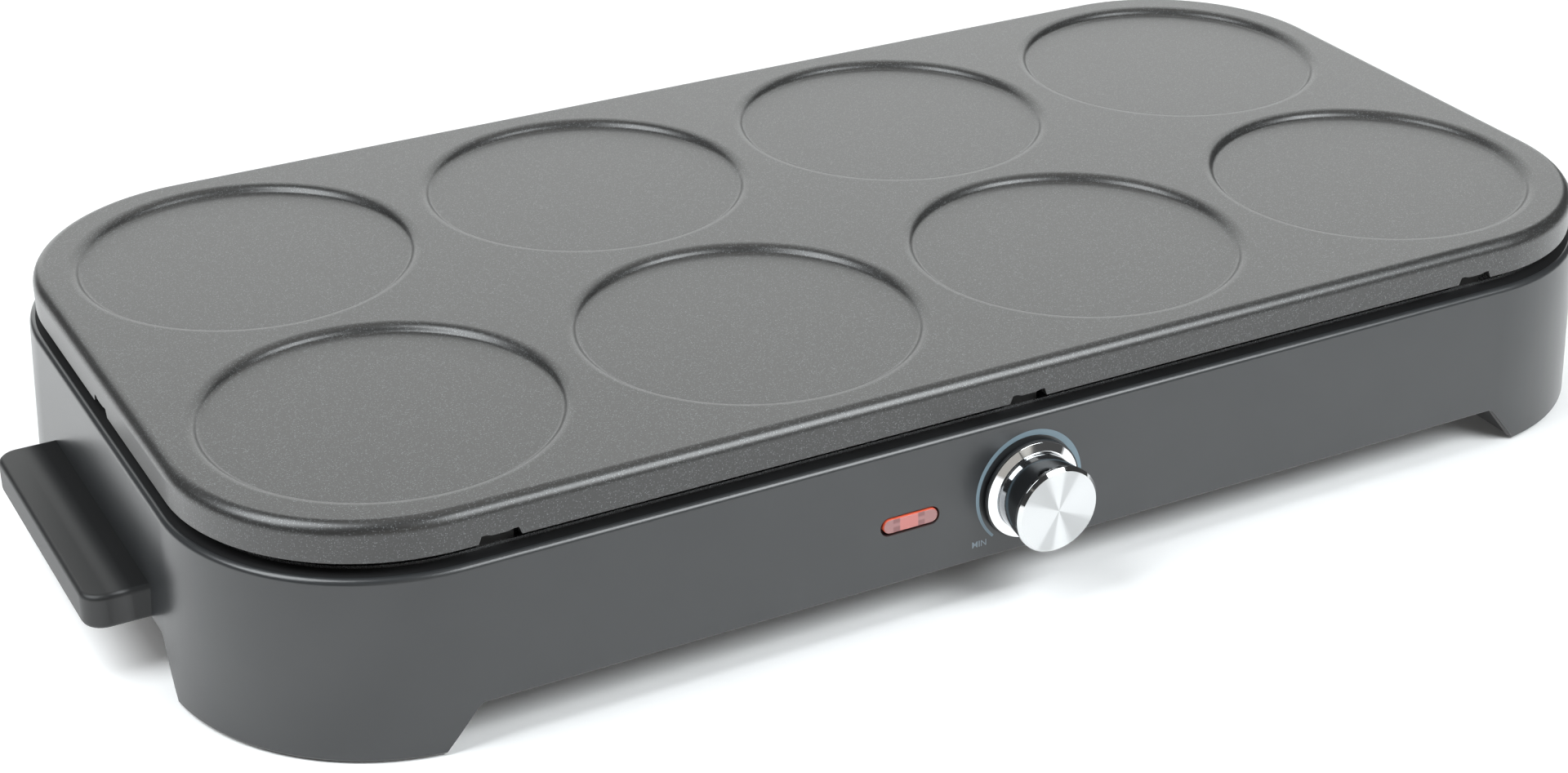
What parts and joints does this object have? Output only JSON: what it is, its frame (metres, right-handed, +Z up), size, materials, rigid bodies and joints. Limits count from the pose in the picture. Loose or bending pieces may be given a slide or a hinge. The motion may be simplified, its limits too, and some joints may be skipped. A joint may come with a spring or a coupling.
{
  "type": "electric pancake maker",
  "caption": "Countertop electric pancake maker: a lift-off plate with shallow round wells on a heated base with slab handles, a front knob and a pilot lens.",
  "frame": {"origin": "centre of the bounding box on the table, under the feet", "axes": "+X along the length to the viewer's right, +Y to the back, +Z up; the knob faces -Y"},
  "size_m": [0.5626, 0.2908, 0.077],
  "materials": {
    "base_plastic": "satin charcoal moulding",
    "handle_plastic": "fine matt charcoal moulding",
    "black_plastic": "black moulding",
    "coated_plate": "die-cast, with a dark flecked non-stick coating",
    "steel": "plain bright steel",
    "element_steel": "heat-dulled tube",
    "ceramic": "unglazed ceramic",
    "insulator": "dark heat-proof moulding",
    "copper": "drawn copper",
    "brass": "turned brass",
    "red_lens": "translucent red moulding",
    "pale_plastic": "pale moulding",
    "lamp_glass": "clear glass",
    "brown_sleeve": "heat-proof sleeve",
    "blue_sleeve": "heat-proof sleeve",
    "red_sleeve": "heat-proof sleeve",
    "green_sleeve": "heat-proof sleeve",
    "chrome": "polished plating",
    "spun_aluminium": "spun face with a bright cut edge",
    "pad_rubber": "moulded rubber"
  },
  "bodies": {
    "base": {"base_front": "base_plastic", "base_back": "base_plastic", "base_left": "base_plastic", "base_right": "base_plastic", "corner_feet": "base_plastic", "bottom_cover": "black_plastic", "cover_screws": "steel", "foot_pads": "pad_rubber", "handle_left": "handle_plastic", "handle_right": "handle_plastic", "handle_screws": "steel", "reflector_tray": "steel", "plate_rests": "insulator", "rest_screws": "steel", "outer_element": "element_steel", "inner_element": "element_steel", "element_saddles": "steel", "element_bushes": "ceramic", "element_tabs": "steel", "thermostat_body": "ceramic", "thermostat_bracket": "steel", "thermostat_nut": "steel", "bracket_screws": "steel", "sensor_bulb": "copper", "bulb_saddles": "steel", "capillary": "copper", "thermal_fuse": "ceramic", "pilot_lens": "red_lens", "lamp_holder": "pale_plastic", "pilot_lamp": "lamp_glass", "terminal_block": "pale_plastic", "terminal_screws": "brass", "cord_gland": "black_plastic", "gland_nut": "black_plastic", "earth_tag": "steel", "earth_screw": "brass", "live_lead": "brown_sleeve", "neutral_lead": "blue_sleeve", "switched_lead": "brown_sleeve", "heater_lead": "red_sleeve", "earth_lead": "green_sleeve", "lamp_leads": "black_plastic"},
    "knob": {"knob_skirt": "black_plastic", "knob_ring": "chrome", "knob_body": "chrome", "knob_cap": "spun_aluminium", "knob_clip": "steel", "thermostat_spindle": "steel"},
    "plate": {"cooking_plate": "coated_plate"}
  },
  "joints": [
    {"name": "knob_turn", "type": "hinge", "parent": "base", "child": "knob", "pos_m": [-0.001, -0.128, 0.0355], "axis": [0, 1, 0], "range_deg": [0, 270]},
    {"name": "plate_lift", "type": "slide", "parent": "base", "child": "plate", "axis": [0, 0, 1], "range_m": [0, 0.06]}
  ]
}
